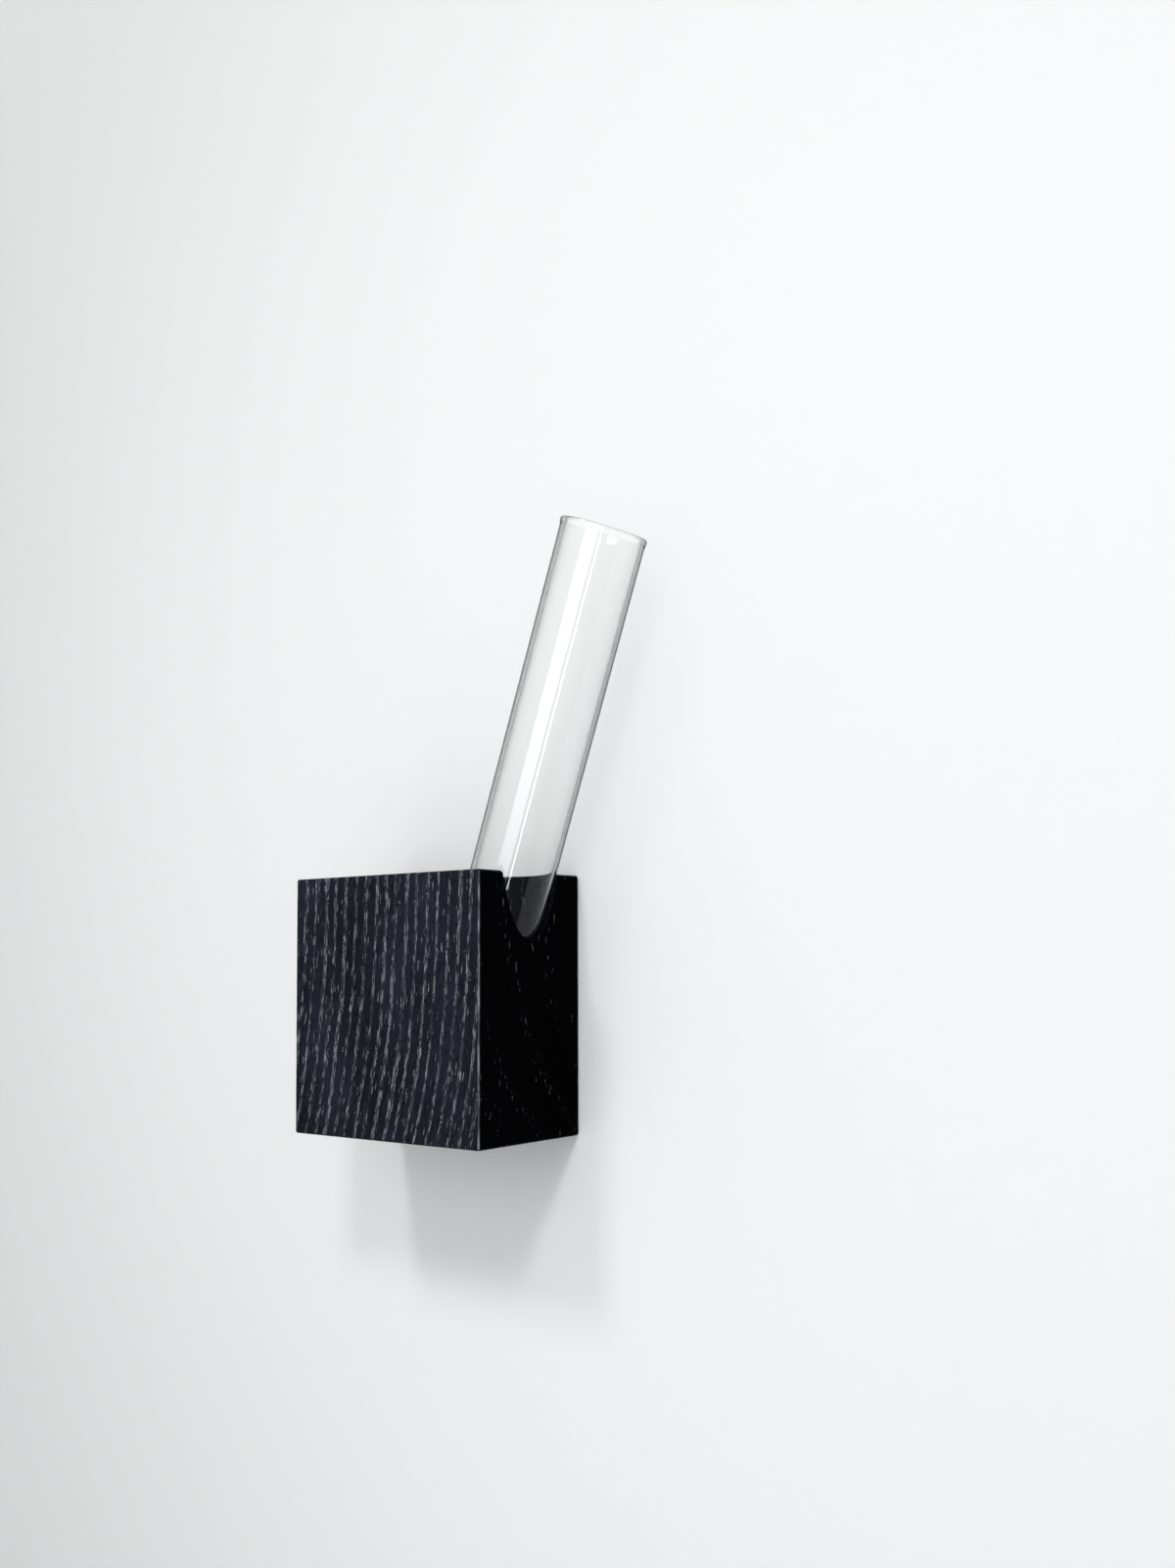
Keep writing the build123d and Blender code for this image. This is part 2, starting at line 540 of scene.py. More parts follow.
def new_geometry_tree(name, inputs):
    """A geometry tree with named inputs, as a tree, its input sockets by name and its output."""
    group = bpy.data.node_groups.new(name, "GeometryNodeTree")
    group.interface.new_socket("Geometry", in_out="OUTPUT", socket_type="NodeSocketGeometry")
    group.interface.new_socket("Geometry", in_out="INPUT", socket_type="NodeSocketGeometry")
    for label, value in inputs.items():
        kind = SOCKETS[type(value)]
        socket = group.interface.new_socket(label, in_out="INPUT", socket_type=kind)
        if value is not None:
            socket.default_value = value
    tree = Tree(group)
    return group, tree, tree.add("NodeGroupInput").outputs, tree.add("NodeGroupOutput").inputs[0]


def finish_tree(tree, geometry, material, output):
    """Ends a tree in real geometry with its material."""
    real = tree.get("GeometryNodeRealizeInstances", Geometry=geometry)
    dressed = tree.get("GeometryNodeSetMaterial", Geometry=real, Material=material)
    tree.plug(dressed, output)


def run_tree(piece, group, values):
    """Runs a geometry tree on a piece with values for its inputs, and makes the result plain."""
    modifier = piece.modifiers.new(group.name, "NODES")
    modifier.node_group = group
    for item in group.interface.items_tree:
        if item.item_type == "SOCKET" and item.in_out == "INPUT" and item.name in values:
            modifier[item.identifier] = values[item.name]
    made_plain(piece)


# Wood block

# Spacing of the cuts across the grain, along it, and on the two faces that end it
CUT_ACROSS = 0.5 * MM
CUT_ALONG = 2.0 * MM
CUT_ENDS = 0.9 * MM

# The relief starts beyond the arris, and grows to its full depth over this many arrises
RELIEF_START = 1.05
RELIEF_GROWS = 2.2

# A face slanted more than this against the axes is part of an arris or of the bore. The back's
# arrises lie within this depth of the wall, get none of the arrises' painted highlight and stay as dark as the
# rest.
FLAT_FACING = 0.97
BACK_ARRIS = 1.5 * MM

# An arris reaches this many chamfers in, and the bore's wall starts this deep in the block
ARRIS_REACH = 1.1
BORE_STARTS = 0.02 * MM

# Faces of the block that meet more sharply than this keep their edge
SHARP_WOOD = math.radians(52)


def slice_faces(bm, faces, axis, start, end, spacing):
    """Cuts faces at even places along an axis, going on with what lies beyond each cut."""
    count = max(1, round((end - start) / spacing))
    normal = Vector((0, 0, 0))
    normal[axis] = 1.0
    done = []
    for i in range(1, count):
        place = Vector((0, 0, 0))
        place[axis] = start + (end - start) * i / count
        parts = dict.fromkeys(faces)
        for f in faces:
            parts.update(dict.fromkeys([*f.edges, *f.verts]))
        cut = bmesh.ops.bisect_plane(
            bm, geom=list(parts), dist=CUT_MERGE, plane_co=place, plane_no=normal)
        split = dict.fromkeys(g for g in cut["geom"] if isinstance(g, bmesh.types.BMFace))
        split.update(dict.fromkeys(f for f in faces if f.is_valid))
        faces = [f for f in split if f.calc_center_median()[axis] > place[axis]]
        done += [f for f in split if f.calc_center_median()[axis] <= place[axis]]
    return done + faces


def block_mesh(look):
    """The block with a fine grid on its outer faces, and fields for its relief and edges."""
    mesh, bm = merged_mesh("wood_block", "stained_ash_block")
    low, high = BLOCK_LOW, BLOCK_HIGH

    # Faces by their axis and side, with the axes and spacings of their two runs of cuts
    front = (0, CUT_ACROSS), (2, CUT_ALONG)
    flank = (1, CUT_ACROSS), (2, CUT_ALONG)
    end = (0, CUT_ENDS), (1, CUT_ENDS)
    grids = ((1, low.y, front), (0, low.x, flank), (0, high.x, flank),
             (2, low.z, end), (2, high.z, end))
    for axis, side, cuts in grids:
        faces = [f for f in bm.faces if all(abs(v.co[axis] - side) < ON_PLANE for v in f.verts)]
        for run, spacing in cuts:
            faces = slice_faces(bm, faces, run, low[run], high[run], spacing)
    bmesh.ops.recalc_face_normals(bm, faces=bm.faces)
    bm.normal_update()

    relief = bm.verts.layers.float.new("relief")
    arris = bm.faces.layers.float.new("arris")
    bored = bm.faces.layers.float.new("bored")
    for v in bm.verts:
        depths = [min(abs(v.co[i] - low[i]), abs(v.co[i] - high[i])) for i in range(3)]
        flat = [i for i in range(3) if depths[i] < ON_PLANE]
        on_back = flat == [1] and v.co.y > -2 * ON_PLANE
        if len(flat) == 1 and not on_back:
            edge = min(depths[i] for i in range(3) if i != flat[0])
            inside = min(edge, off_bore(v.co)) - look.arris * RELIEF_START
            v[relief] = min(max(inside / (look.arris * RELIEF_GROWS), 0.0), 1.0)
    for f in bm.faces:
        centre = f.calc_center_median()
        depth = min(min(centre[i] - low[i], high[i] - centre[i]) for i in range(3))
        slanted = max(abs(n) for n in f.normal) < FLAT_FACING
        on_rim = slanted and depth < look.arris * ARRIS_REACH and centre.y < -BACK_ARRIS
        # The arrises away from the back carry the painted highlight, and the bore's wall the painted shade
        f[arris] = float(on_rim and off_bore(centre) > look.arris)
        f[bored] = float(off_bore(centre) < look.arris and depth > BORE_STARTS)
    finish_mesh(mesh, bm)
    return mesh


# Changes to the metre of the breaks in the brushed relief
RELIEF_GAPS = (700.0, 700.0, 160.0)


def relief_tree():
    """Brushes the early wood down along the same rings that the stain shows."""
    group, tree, given, output = new_geometry_tree("Brushed ash", {
        "Ring width": 4.9 * MM, "Grain drift": 12.0 * MM, "Relief": 0.12 * MM, "Material": None})
    position = tree.get("GeometryNodeInputPosition")
    normal = tree.get("GeometryNodeInputNormal")
    weight = tree.get("GeometryNodeInputNamedAttribute", {"data_type": "FLOAT"}, Name="relief")
    early, grain, strength = add_grain(tree, position, given["Ring width"], given["Grain drift"])
    broken = tree.step(tree.noise(grain, RELIEF_GAPS, detail=1.0), 0.25, 0.65, 0.5, 1.0)
    sunk = tree.times(early, strength, broken, weight, given["Relief"], -1.0)
    down = tree.get("ShaderNodeVectorMath", {"operation": "SCALE"}, Vector=normal, Scale=sunk)
    moved = tree.get("GeometryNodeSetPosition", Geometry=given["Geometry"], Offset=down)
    finish_tree(tree, moved, given["Material"], output)
    return group


class FLOWERTUBE_OT_block(bpy.types.Operator):
    """Make the stained ash block with its brushed grain"""

    bl_idname = "flowertube.block"
    bl_label = "Stained ash block"

    def execute(self, context):
        look = context.scene.flowertube_block
        piece = new_piece("stained_ash_block", block_mesh(look))
        run_tree(piece, relief_tree(), {
            "Ring width": look.ring_width, "Grain drift": look.grain_drift,
            "Relief": look.relief, "Material": stained_ash(look)})
        piece.data.set_sharp_from_angle(angle=SHARP_WOOD)
        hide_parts("wood_block")
        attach(piece, "block")
        return {"FINISHED"}


# Glass tube

# How fast light fades on its way through the glass, for each metre, and how often it is
# thrown back inside the wall before it gets out
GLASS_DENSITY = 40.0
GLASS_BOUNCES = 2.5
GLASS_IOR = 1.47

# Where the wall of the tube turns so far away that it is seen edge on, the span over which its painted shade grows
EDGE_SHADE_STARTS, EDGE_SHADE_FULL = 0.68, 0.84

# Changes to the metre of the drawn streaks and of the thin film on the glass
STREAKS = (260.0, 260.0, 18.0)
FILM = (90.0, 90.0, 60.0)

# Height of the streaks, roughness of the film, and colour of a shadow through clear glass
STREAK_DEPTH = 0.05 * MM
FILM_ROUGHNESS = 0.005
GLASS_SHADOW = (0.96, 0.965, 0.965, 1.0)


def clear_glass(look):
    """Clear drawn glass, hardly tinted, that lets lamps through to what is behind it, with painted shade along its
    edges.
    """
    material, tree, ends = new_material("clear_drawn_glass")
    place = tree.place()
    normal = tree.bump(tree.noise(place, STREAKS, detail=1.0), 0.006, STREAK_DEPTH)
    rough = tree.step(tree.noise(place, FILM, detail=3.0), 0.45, 0.75, 0.0, FILM_ROUGHNESS)
    # Painted shade along the tube's edges: its colour turns dark grey where its wall is seen edge on, on the faces
    # that rays enter
    facing = tree.get("ShaderNodeLayerWeight", output="Facing")
    entering = tree.without(tree.get("ShaderNodeNewGeometry", output="Backfacing"))
    edge_shade_share = tree.times(tree.step(facing, EDGE_SHADE_STARTS, EDGE_SHADE_FULL), entering)
    edge = tree.mix(edge_shade_share, (1.0, 1.0, 1.0, 1.0), toned(look.edge))
    glass = tree.get("ShaderNodeBsdfPrincipled", Base_Color=edge, Normal=normal, Roughness=rough,
                     IOR=GLASS_IOR, Transmission_Weight=1.0)
    clear = tree.get("ShaderNodeBsdfTransparent", Color=GLASS_SHADOW)
    rays = tree.rays()
    through = tree.most(rays["Is Shadow Ray"], rays["Is Diffuse Ray"])
    trapped = tree.math("GREATER_THAN", rays["Glossy Depth"], GLASS_BOUNCES)
    mixed = tree.mix_shaders(tree.most(through, trapped), glass, clear)
    tree.plug(mixed, ends["Surface"])
    body = tree.get("ShaderNodeVolumeAbsorption", Color=toned(look.tint), Density=GLASS_DENSITY)
    tree.plug(body, ends["Volume"])
    return material


def add_revolved(tree, profile, segments):
    """Turns a profile curve, X out from the axis and Y up it, into a closed mesh round Z."""
    size = tree.add("GeometryNodeAttributeDomainSize", {"component": "CURVE"}, Geometry=profile)
    steps = size.outputs["Point Count"]
    round_steps = tree.plus(segments, 1.0)
    grid = tree.get("GeometryNodeMeshGrid", Vertices_X=round_steps, Vertices_Y=steps)
    index = tree.get("GeometryNodeInputIndex")
    along = tree.math("MODULO", index, steps)
    turn = tree.math("FLOOR", tree.over(tree.plus(index, 0.5), steps))
    place = tree.get("GeometryNodeInputPosition")
    sample = tree.add("GeometryNodeSampleIndex", {"data_type": "FLOAT_VECTOR", "domain": "POINT"},
                      Geometry=profile, Value=place, Index=along)
    out, up, _ = tree.split(sample.outputs["Value"])
    angle = tree.times(tree.over(turn, segments), math.tau)
    point = tree.combine(tree.times(out, tree.math("COSINE", angle)),
                         tree.times(out, tree.math("SINE", angle)), up)
    shaped = tree.get("GeometryNodeSetPosition", Geometry=grid, Position=point)
    merged = tree.get("GeometryNodeMergeByDistance", Geometry=shaped, Distance=MERGE)
    return tree.get("GeometryNodeSetShadeSmooth", Geometry=merged)


def spaced(tree, curve, points):
    """A curve with this many evenly spaced points."""
    return tree.get("GeometryNodeResampleCurve", Curve=curve, Count=points)


def add_arc(tree, radius, centre, start, sweep, points):
    arc = tree.get("GeometryNodeCurveArc", {"mode": "RADIUS"}, Radius=radius, Resolution=points,
                   Start_Angle=math.radians(start), Sweep_Angle=math.radians(sweep))
    return moved_to(tree, arc, centre)


def add_run(tree, start, end, points):
    line = tree.get("GeometryNodeCurvePrimitiveLine", {"mode": "POINTS"}, Start=start, End=end)
    return spaced(tree, line, points)


def moved_to(tree, geometry, place, turn=(0.0, 0.0, 0.0)):
    return tree.get("GeometryNodeTransform", Geometry=geometry, Translation=place, Rotation=turn)


def join_parts(tree, parts):
    """Joins geometry so that the first part comes first."""
    join = tree.add("GeometryNodeJoinGeometry")
    for part in reversed(parts):
        tree.plug(part, join.inputs[0])
    return join.outputs[0]


# Points of the tube's profile along its round bottom, its straight sides, its flare and bead
BOTTOM_POINTS, SIDE_POINTS, FLARE_POINTS, BEAD_POINTS = 28, 16, 10, 15

# How far the flare's handles reach, as a share of the taper, and the steps of its curve
FLARE_EASE = 0.45
FLARE_STEPS = 8


def tube_tree():
    """Round-bottomed tube of even wall with a bead at its rim, leaned over and set on its tip."""
    group, tree, given, output = new_geometry_tree("Round-bottomed tube", {
        "Radius": 15.0 * MM, "Inside radius": 13.6 * MM, "Length": 200.0 * MM,
        "Rim swell": 0.3 * MM, "Rim taper": 2.5 * MM, "Lean": 0.35, "Tip": (0.0, 0.0, 0.0),
        "Segments": 160, "Material": None})
    radius, inside, swell = given["Radius"], given["Inside radius"], given["Rim swell"]
    wall = tree.minus(radius, inside)
    bead = tree.times(tree.plus(wall, swell), 0.5)
    rim = tree.minus(given["Length"], bead)
    taper = tree.minus(rim, given["Rim taper"])
    centre = tree.combine(0.0, radius, 0.0)
    ease = tree.times(given["Rim taper"], FLARE_EASE)
    flare = tree.get(
        "GeometryNodeCurvePrimitiveBezierSegment", {"mode": "OFFSET"}, Resolution=FLARE_STEPS,
        Start=tree.combine(radius, taper, 0.0), Start_Handle=tree.combine(0.0, ease, 0.0),
        End=tree.combine(tree.plus(radius, swell), rim, 0.0),
        End_Handle=tree.combine(0.0, tree.times(ease, -1.0), 0.0))
    bead_centre = tree.combine(tree.plus(inside, bead), rim, 0.0)
    profile = join_parts(tree, [
        add_arc(tree, radius, centre, -90, 90, BOTTOM_POINTS),
        add_run(tree, tree.combine(radius, radius, 0.0), tree.combine(radius, taper, 0.0),
                SIDE_POINTS),
        spaced(tree, flare, FLARE_POINTS),
        add_arc(tree, bead, bead_centre, 0, 180, BEAD_POINTS),
        add_run(tree, tree.combine(inside, rim, 0.0), tree.combine(inside, radius, 0.0),
                SIDE_POINTS),
        add_arc(tree, inside, centre, 0, -90, BOTTOM_POINTS),
    ])
    tube = add_revolved(tree, profile, given["Segments"])
    leaned = moved_to(tree, tube, given["Tip"], tree.combine(0.0, given["Lean"], 0.0))
    finish_tree(tree, leaned, given["Material"], output)
    return group


class FLOWERTUBE_OT_tube(bpy.types.Operator):
    """Make the glass tube"""

    bl_idname = "flowertube.tube"
    bl_label = "Glass tube"

    def execute(self, context):
        look = context.scene.flowertube_tube
        piece = new_piece("round_bottomed_tube")
        run_tree(piece, tube_tree(), {
            "Radius": look.radius, "Inside radius": TUBE_INSIDE, "Length": TUBE_LENGTH,
            "Rim swell": look.rim_swell, "Rim taper": look.rim_taper,
            "Lean": math.atan2(LEAN.x, LEAN.z), "Tip": TUBE_TIP, "Segments": look.segments,
            "Material": clear_glass(look)})
        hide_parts("glass_tube")
        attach(piece, "tube")
        return {"FINISHED"}


# Hanger

# Changes to the metre of the drawn lines on the plate and on the screws, and of the plating
PLATE_LINES = (3000.0, 300.0, 140.0)
SCREW_LINES = (900.0, 200.0, 2600.0)
PLATING = (160.0, 160.0, 160.0)

# Shares of the steel's colour where the plating is dark and pale, and the drawn lines' height
STEEL_DARK, STEEL_PALE = 0.80, 1.12
LINE_DEPTH = 0.03 * MM

# Steel faces that meet more sharply than the first keep their edge, and the plate's edges that
# are sharper than the second are rolled
SHARP_METAL = math.radians(35)
STAMPED_EDGE = math.radians(60)


def plated_steel(name, colour, across):
    """Zinc plated steel: fine drawn lines under a cloudy plating."""
    material, tree, ends = new_material(name)
    place = tree.place()
    lines = tree.noise(place, across, detail=2.0)
    cloud = tree.noise(place, PLATING, detail=3.0)
    tone = tree.plus(tree.times(lines, 0.45), tree.times(cloud, 0.55))
    colours = tree.mix(tree.step(tone, 0.32, 0.68), toned(colour, STEEL_DARK),
                       toned(colour, STEEL_PALE))
    metal = tree.get("ShaderNodeBsdfPrincipled", Base_Color=colours, Metallic=1.0,
                     Normal=tree.bump(lines, 0.18, LINE_DEPTH),
                     Roughness=tree.step(tone, 0.30, 0.70, 0.44, 0.26))
    tree.plug(metal, ends["Surface"])
    return material


class FLOWERTUBE_OT_plate(bpy.types.Operator):
    """Make the stamped keyhole plate"""

    bl_idname = "flowertube.plate"
    bl_label = "Keyhole plate"

    def execute(self, context):
        look = context.scene.flowertube_hanger
        mesh, bm = merged_mesh("hanger_plate", "keyhole_plate")
        finish_mesh(mesh, bm)
        mesh.materials.append(plated_steel("zinc_plated_sheet", look.zinc, PLATE_LINES))
        piece = new_piece("keyhole_plate", mesh)
        bevel = piece.modifiers.new("Rolled edges", "BEVEL")
        bevel.width = look.edge_round
        bevel.segments = 3
        bevel.limit_method = "ANGLE"
        bevel.angle_limit = STAMPED_EDGE
        made_plain(piece)
        piece.data.set_sharp_from_angle(angle=SHARP_METAL)
        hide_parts("hanger_plate")
        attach(piece, "block")
        return {"FINISHED"}


# Faces round a screw, steps in a turn of its thread, corners of the thread's ridge, and points
# on each run of the screw's profile, from its tip to the middle of its head
SCREW_SEGMENTS, THREAD_STEPS, THREAD_CORNERS = 48, 20, 4
PROFILE_POINTS = (5, 2, 4, 2, 2, 3)

# The head's top edge is taken off by these shares of its rim, inwards and downwards, and the
# thread stops this many rims short of the neck
CROWN_IN, CROWN_DOWN = 0.5, 0.4
THREAD_GAP = 2.0

# The recess narrows by this share towards its floor, and the thread's ridge is this share of
# its height thick
RECESS_DRAFT = 0.8
RIDGE_SHARE = 0.62


def screw_tree():
    """Countersunk wood screws with a cross recess, one at each point of a line."""
    group, tree, given, output = new_geometry_tree("Plate screws", {
        "Head radius": 2.9 * MM, "Head rim": 0.3 * MM, "Core radius": 1.08 * MM,
        "Thread radius": 1.5 * MM, "Length": 12.0 * MM, "Point": 3.0 * MM, "Pitch": 1.35 * MM,
        "Recess length": 3.2 * MM, "Recess width": 0.9 * MM, "Recess depth": 1.0 * MM,
        "First": (0.0, 0.0, 0.0), "Step": (0.0, 0.0, 0.0), "Count": 2, "Material": None})
    head, rim, core = given["Head radius"], given["Head rim"], given["Core radius"]
    low_rim = tree.times(rim, -1.0)
    neck = tree.minus(low_rim, tree.minus(head, core))
    tip = tree.times(given["Length"], -1.0)
    shoulder = tree.plus(tip, given["Point"])
    crown = tree.minus(head, tree.times(rim, CROWN_IN))
    corners = [tree.combine(out, up, 0.0) for out, up in (
        (0.0, tip), (core, shoulder), (core, neck), (head, low_rim),
        (head, tree.times(rim, -CROWN_DOWN)), (crown, 0.0), (0.0, 0.0))]
    runs = zip(corners, corners[1:], PROFILE_POINTS)
    profile = join_parts(tree, [add_run(tree, a, b, points) for a, b, points in runs])
    body = add_revolved(tree, profile, SCREW_SEGMENTS)

    # Cross recess, narrower towards its floor. Half of each blade stands over the head.
    long, wide = given["Recess length"], given["Recess width"]
    deep = tree.times(given["Recess depth"], 2.0)
    x, y, z = tree.split(tree.get("GeometryNodeInputPosition"))
    shrink = tree.plus(1.0, tree.times(tree.over(z, deep), RECESS_DRAFT))
    slim = tree.combine(tree.times(x, shrink), tree.times(y, shrink), z)
    cut = tree.add("GeometryNodeMeshBoolean", {"operation": "DIFFERENCE", "solver": "EXACT"},
                   Mesh_1=body)
    for size in ((long, wide, deep), (wide, long, deep)):
        blade = tree.get("GeometryNodeMeshCube", Size=tree.combine(*size))
        cutter = tree.get("GeometryNodeSetPosition", Geometry=blade, Position=slim)
        tree.plug(cutter, cut.inputs["Mesh 2"])

    # Thread: a ridge wound round the core
    span = tree.minus(tree.minus(neck, shoulder), tree.times(rim, THREAD_GAP))
    ridge_radius = tree.times(tree.minus(given["Thread radius"], core), RIDGE_SHARE)
    ridge_place = tree.minus(given["Thread radius"], ridge_radius)
    spiral = tree.get("GeometryNodeCurveSpiral", Resolution=THREAD_STEPS, Height=span,
                      Rotations=tree.over(span, given["Pitch"]),
                      Start_Radius=ridge_place, End_Radius=ridge_place)
    ring = tree.get("GeometryNodeCurvePrimitiveCircle", {"mode": "RADIUS"}, Radius=ridge_radius,
                    Resolution=THREAD_CORNERS)
    ridge = tree.get("GeometryNodeCurveToMesh", Curve=spiral, Profile_Curve=ring, Fill_Caps=True)
    wound = moved_to(tree, ridge, tree.combine(0.0, 0.0, shoulder))
    smooth = tree.get("GeometryNodeSetShadeSmooth",
                      Geometry=join_parts(tree, [cut.outputs["Mesh"], wound]))
    screw = moved_to(tree, smooth, (0.0, 0.0, 0.0), (math.radians(-90), 0.0, 0.0))
    points = tree.get("GeometryNodeMeshLine", {"mode": "OFFSET"}, Count=given["Count"],
                      Start_Location=given["First"], Offset=given["Step"])
    placed = tree.get("GeometryNodeInstanceOnPoints", Points=points, Instance=screw)
    finish_tree(tree, placed, given["Material"], output)
    return group


class FLOWERTUBE_OT_screws(bpy.types.Operator):
    """Make the two countersunk screws of the plate"""

    bl_idname = "flowertube.screws"
    bl_label = "Plate screws"

    def execute(self, context):
        look = context.scene.flowertube_hanger
        head = (SCREWS_HIGH.x - SCREWS_LOW.x) / 2
        apart = SCREWS_HIGH.z - SCREWS_LOW.z - 2 * head
        piece = new_piece("plate_screws")
        run_tree(piece, screw_tree(), {
            "Head radius": head, "Length": SCREWS_HIGH.y - SCREWS_LOW.y,
            "Pitch": look.thread_pitch, "Step": Vector((0, 0, apart)),
            "First": Vector((0, SCREWS_HIGH.y, SCREWS_LOW.z + head)),
            "Material": plated_steel("plated_screw_steel", look.screw_steel, SCREW_LINES)})
        piece.data.set_sharp_from_angle(angle=SHARP_METAL)
        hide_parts("hanger_screws")
        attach(piece, "block")
        return {"FINISHED"}


# Stage

# Wall and floor
WALL_GAP = 0.2 * MM
WALL_WIDTH = 3.2
WALL_TOP = 1.7
FLOOR_DEPTH = 0.95
FLOOR_REACH = 3.0
COVE_RADIUS = 0.30
COVE_STEPS = 16

# The wall is open behind the block, whose back covers the opening's edge by this much
OPENING_COVER = 1.2 * MM

# Camera
CAMERA_PLACE = (0.3773, -0.3903, 0.0153)
CAMERA_YAW, CAMERA_PITCH, CAMERA_ROLL = 35.37, 2.55, -0.35
CAMERA_LENS = 31.77
CAMERA_SHIFT = (-0.0687, 0.0746)

# Painted light on the wall: where it is palest, from how near to how far it grows darker, and its darker share
PAINTED_LIGHT_PLACE = (0.16, 0.0, 0.06)
PAINTED_LIGHT_NEAR, PAINTED_LIGHT_FAR = 0.12, 0.70
PAINTED_WALL_SHADE = 0.78

# How pale wall and floor are as glass and metal mirror them, and the wall as it shows through
# the tube's wall seen edge on
WALL_IN_GLASS = 0.15
WALL_THROUGH_EDGE = 0.76
FLOOR_IN_GLASS = 0.12

# The floor's mirrored tone turns into the wall's over this height above the cove
TONE_TURNS = 0.18

# Colour of the wall straight through the glass
WALL_BEHIND_GLASS = (0.99, 0.99, 0.99, 1.0)

# Slow clouds in the paint, and how much they darken it
PAINT_CLOUD = (2.2, 2.2, 2.2)
PAINT_DEPTH = 0.03


def pale_paint(colour):
    """Matt pale paint with a painted pool of light, that isn't there for a camera behind it."""
    material, tree, ends = new_material("pale_paint")
    place = tree.place()
    behind = tree.get("ShaderNodeNewGeometry", output="Backfacing")
    rays = tree.rays()
    # Painted light: the wall is palest round one place and darkens away from it
    away = tree.vector("DISTANCE", place, PAINTED_LIGHT_PLACE, output=1)
    tone = tree.mix(tree.step(away, PAINTED_LIGHT_NEAR, PAINTED_LIGHT_FAR), toned(colour),
                    toned(colour, PAINTED_WALL_SHADE))
    cloud = tree.noise(place, PAINT_CLOUD, detail=2.0)
    tone = tree.mix(tree.times(cloud, PAINT_DEPTH), tone, (0.0, 0.0, 0.0, 1.0))
    tone = tree.mix(rays["Is Transmission Ray"], tone, WALL_BEHIND_GLASS)

    # Light that entered the glass, was mirrored inside its wall and left it again has passed
    # two surfaces
    edge_on = tree.math("COMPARE", rays["Transmission Depth"], 2.0, 0.5)
    cove_top = COVE_RADIUS - FLOOR_DEPTH
    low = tree.step(tree.split(place)[2], cove_top, cove_top + TONE_TURNS, 1.0, 0.0)
    dim = tree.mix(edge_on, toned(colour, WALL_IN_GLASS), toned(colour, WALL_THROUGH_EDGE))
    dim = tree.mix(low, dim, toned(colour, FLOOR_IN_GLASS))
    mirrored = tree.math("GREATER_THAN", rays["Glossy Depth"], 0.5)
    paint = tree.get("ShaderNodeBsdfDiffuse", Color=tree.mix(mirrored, tone, dim))
    clear = tree.get("ShaderNodeBsdfTransparent")
    seen = tree.most(rays["Is Camera Ray"], rays["Is Transmission Ray"])
    mixed = tree.mix_shaders(tree.times(behind, seen), paint, clear)
    tree.plug(mixed, ends["Surface"])
    return material


def wall_and_floor(colour):
    """Wall that turns into the floor by a cove, open only where the block's back covers it."""
    opening = BLOCK_HIGH.x - OPENING_COVER
    columns = [-WALL_WIDTH / 2, -opening, opening, WALL_WIDTH / 2]
    profile = [(WALL_GAP, z) for z in (WALL_TOP, opening, -opening)]
    for i in range(COVE_STEPS + 1):
        turn = math.pi / 2 * i / COVE_STEPS
        profile.append((WALL_GAP - COVE_RADIUS * (1 - math.cos(turn)),
                        COVE_RADIUS - FLOOR_DEPTH - COVE_RADIUS * math.sin(turn)))
    profile.append((-FLOOR_REACH, -FLOOR_DEPTH))
    points = [(x, y, z) for y, z in profile for x in columns]
    wide = len(columns)
    faces = []
    for row in range(len(profile) - 1):
        for column in range(wide - 1):
            if (row, column) != (1, 1):
                a = row * wide + column
                faces.append((a, a + wide, a + wide + 1, a + 1))
    mesh = bpy.data.meshes.new("wall_and_floor")
    mesh.from_pydata(points, [], faces)
    mesh.shade_smooth()
    mesh.materials.append(pale_paint(colour))
    piece = new_piece("wall_and_floor", mesh)


# Lamps, all turned to one point: name, setting of its power, place, width and height, colour,
# how far its top leans to the right, and whether it lights what is matt or is only mirrored
LAMP_TARGET = (0.02, -0.03, 0.04)
WHITE, COOL = (1.0, 0.99, 0.98), (0.94, 0.98, 1.0)
LAMPS = (
    ("left_lamp", "key_power", (-0.45, -2.00, 2.46), (0.52, 0.52), WHITE, 0, True),
    ("right_lamp", "key_power", (1.19, -2.06, 2.22), (0.52, 0.52), WHITE, 0, True),
    ("window_lamp", "window_power", (0.42, -1.95, 0.30), (1.1, 1.9), COOL, 0, True),
    ("window_shine", "window_shine", (0.29, -1.60, -0.20), (0.95, 1.3), COOL, 20, False),
    ("strip_shine", "strip_shine", (0.74, -1.07, -0.33), (0.09, 0.85), COOL, 17, False),
    ("back_lamp", "back_power", (-0.35, 0.95, 0.45), (0.7, 0.7), WHITE, 0, True),
)


def add_lamp(name, power, place, size, colour, tilt, lights_matt):
    """A rectangular lamp turned to the object, which neither the camera nor clear glass shows."""
    lamp = bpy.data.lights.new(name, "AREA")
    lamp.shape = "RECTANGLE"
    lamp.size, lamp.size_y = size
    lamp.energy = power
    lamp.color = colour
    piece = new_piece(name, lamp)
    aim = (Vector(LAMP_TARGET) - Vector(place)).to_track_quat("-Z", "Y").to_matrix()
    piece.location = place
    piece.rotation_euler = (aim @ Matrix.Rotation(math.radians(-tilt), 3, "Z")).to_euler()
    piece.visible_camera = False
    piece.visible_transmission = False
    piece.visible_diffuse = lights_matt


# Brightness of the room to the camera, and as glass and metal mirror it
ROOM_WHITE = 0.93
ROOM_IN_GLASS = 0.09


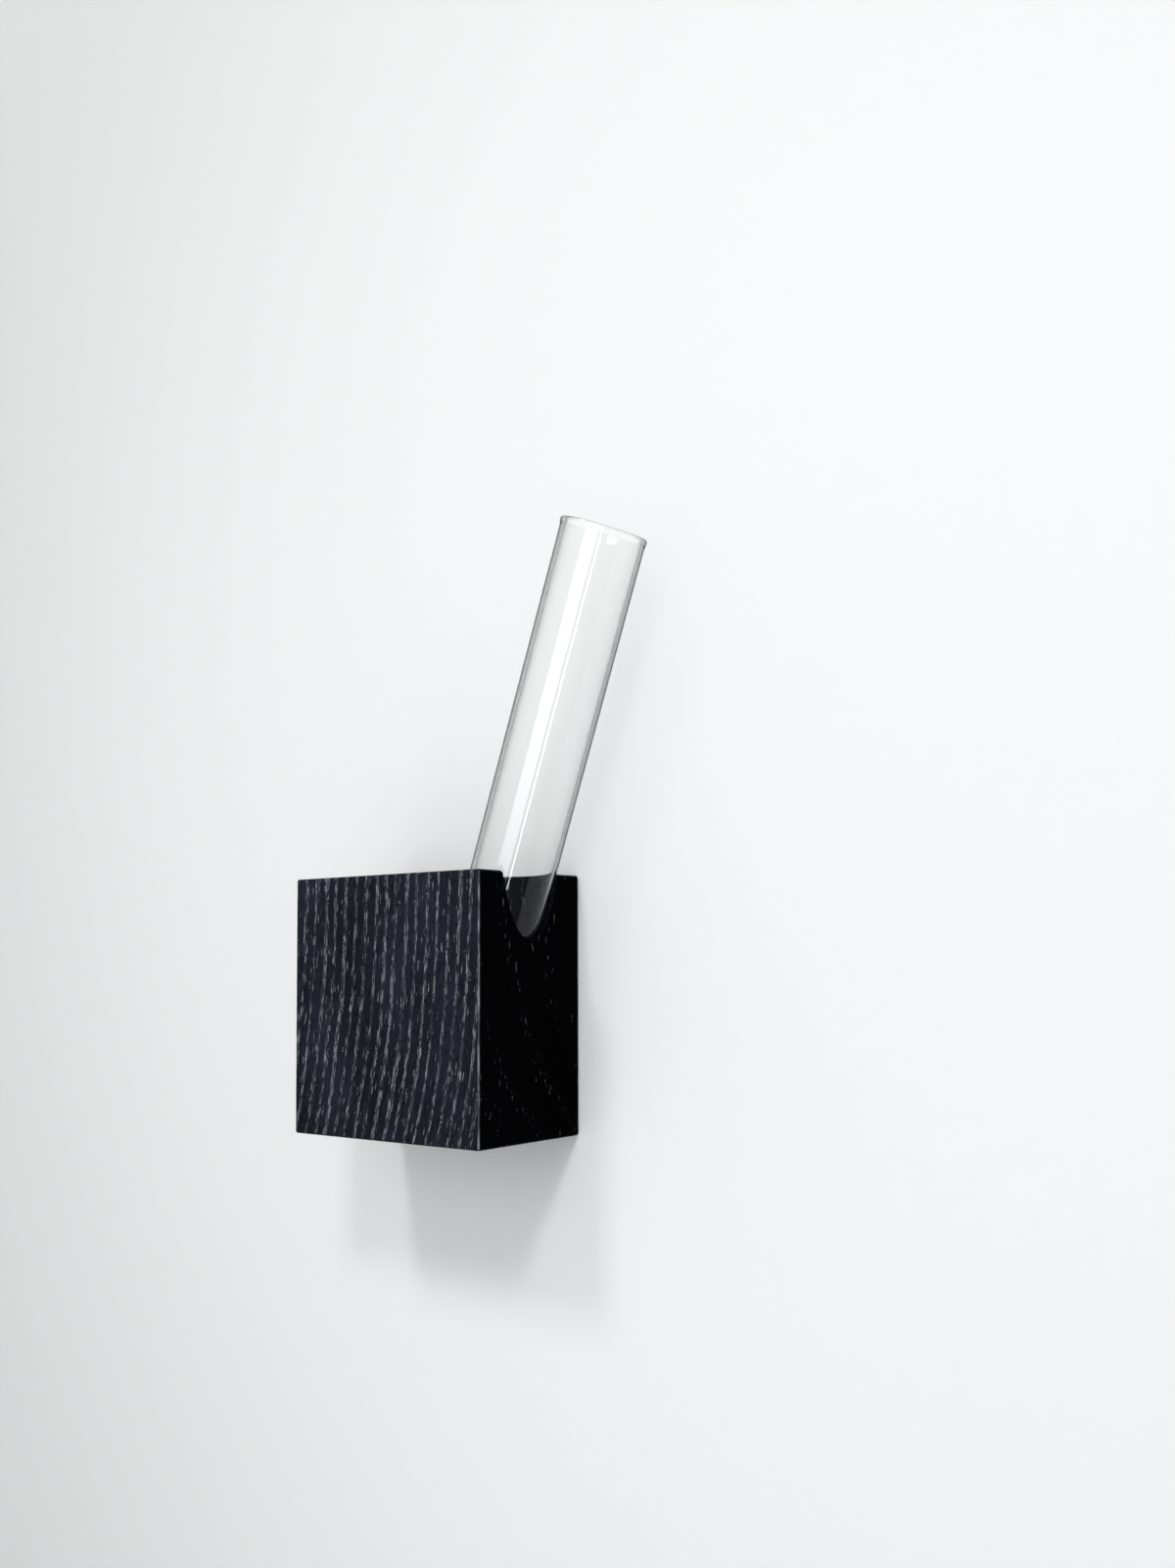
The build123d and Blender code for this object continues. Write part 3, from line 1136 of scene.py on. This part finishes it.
def room_light(ambient):
    """Grey room that is white to the camera, and white behind the wall to metal and glass too."""
    world = bpy.data.worlds.new("pale_room")
    world.use_nodes = True
    world.node_tree.nodes.clear()
    tree = Tree(world.node_tree)
    rays = tree.rays()
    straight = tree.times(rays["Is Transmission Ray"],
                          tree.math("LESS_THAN", rays["Glossy Depth"], 0.5))
    mirrored = tree.most(rays["Is Glossy Ray"], rays["Is Transmission Ray"])
    away = tree.split(tree.get("ShaderNodeTexCoord", output="Generated"))[1]
    behind = tree.times(mirrored, tree.step(away, -0.05, 0.05))
    seen = tree.most(tree.most(rays["Is Camera Ray"], straight), behind)
    dim = tree.minus(ambient, tree.times(mirrored, ambient - ROOM_IN_GLASS))
    strength = tree.plus(tree.times(seen, tree.minus(ROOM_WHITE, dim)), dim)
    room = tree.get("ShaderNodeBackground", Color=(1.0, 1.0, 1.0, 1.0), Strength=strength)
    tree.add("ShaderNodeOutputWorld", Surface=room)
    bpy.context.scene.world = world


def photo_camera():
    """A camera at the photograph's place and angle."""
    camera = bpy.data.cameras.new("camera")
    camera.sensor_width = 36.0
    camera.lens = CAMERA_LENS
    camera.shift_x, camera.shift_y = CAMERA_SHIFT
    camera.clip_start = 0.01
    piece = new_piece("camera", camera)
    piece.matrix_world = (
        Matrix.Translation(CAMERA_PLACE)
        @ Matrix.Rotation(math.radians(CAMERA_YAW), 4, "Z")
        @ Matrix.Rotation(math.radians(90 + CAMERA_PITCH), 4, "X")
        @ Matrix.Rotation(math.radians(CAMERA_ROLL), 4, "Z"))
    return piece


class FLOWERTUBE_OT_stage(bpy.types.Operator):
    """Make the wall, floor, lamps and camera"""

    bl_idname = "flowertube.stage"
    bl_label = "Wall, lamps and camera"

    def execute(self, context):
        look = context.scene.flowertube_stage
        wall_and_floor(look.wall)
        for name, power, *shape in LAMPS:
            add_lamp(name, getattr(look, power), *shape)
        room_light(look.ambient)
        context.scene.camera = photo_camera()
        context.scene.view_settings.view_transform = "Standard"
        return {"FINISHED"}


# Add-on

OPERATORS = (FLOWERTUBE_OT_block, FLOWERTUBE_OT_tube, FLOWERTUBE_OT_plate, FLOWERTUBE_OT_screws,
             FLOWERTUBE_OT_stage)
LOOKS = {"flowertube_block": BlockLook, "flowertube_tube": TubeLook,
         "flowertube_hanger": HangerLook, "flowertube_stage": StageLook}


class FLOWERTUBE_PT_panel(bpy.types.Panel):
    """Lists the pieces of the flower tube"""

    bl_label = "Flower tube"
    bl_idname = "FLOWERTUBE_PT_panel"
    bl_space_type = "VIEW_3D"
    bl_region_type = "UI"
    bl_category = "Flower tube"

    def draw(self, context):
        for name, look in LOOKS.items():
            box = self.layout.box()
            for setting in look.__annotations__:
                box.prop(getattr(context.scene, name), setting)
        for operator in OPERATORS:
            self.layout.operator(operator.bl_idname)


def register():
    for cls in (*LOOKS.values(), *OPERATORS, FLOWERTUBE_PT_panel):
        bpy.utils.register_class(cls)
    for name, look in LOOKS.items():
        setattr(bpy.types.Scene, name, PointerProperty(type=look))


def unregister():
    for name in LOOKS:
        delattr(bpy.types.Scene, name)
    for cls in reversed((*LOOKS.values(), *OPERATORS, FLOWERTUBE_PT_panel)):
        bpy.utils.unregister_class(cls)


def main():
    register()
    for operator in OPERATORS:
        call = getattr(bpy.ops.flowertube, operator.bl_idname.split(".")[1])
        if call() != {"FINISHED"}:
            raise RuntimeError(f"{operator.bl_label} wasn't made")


if __name__ == "__main__":
    main()
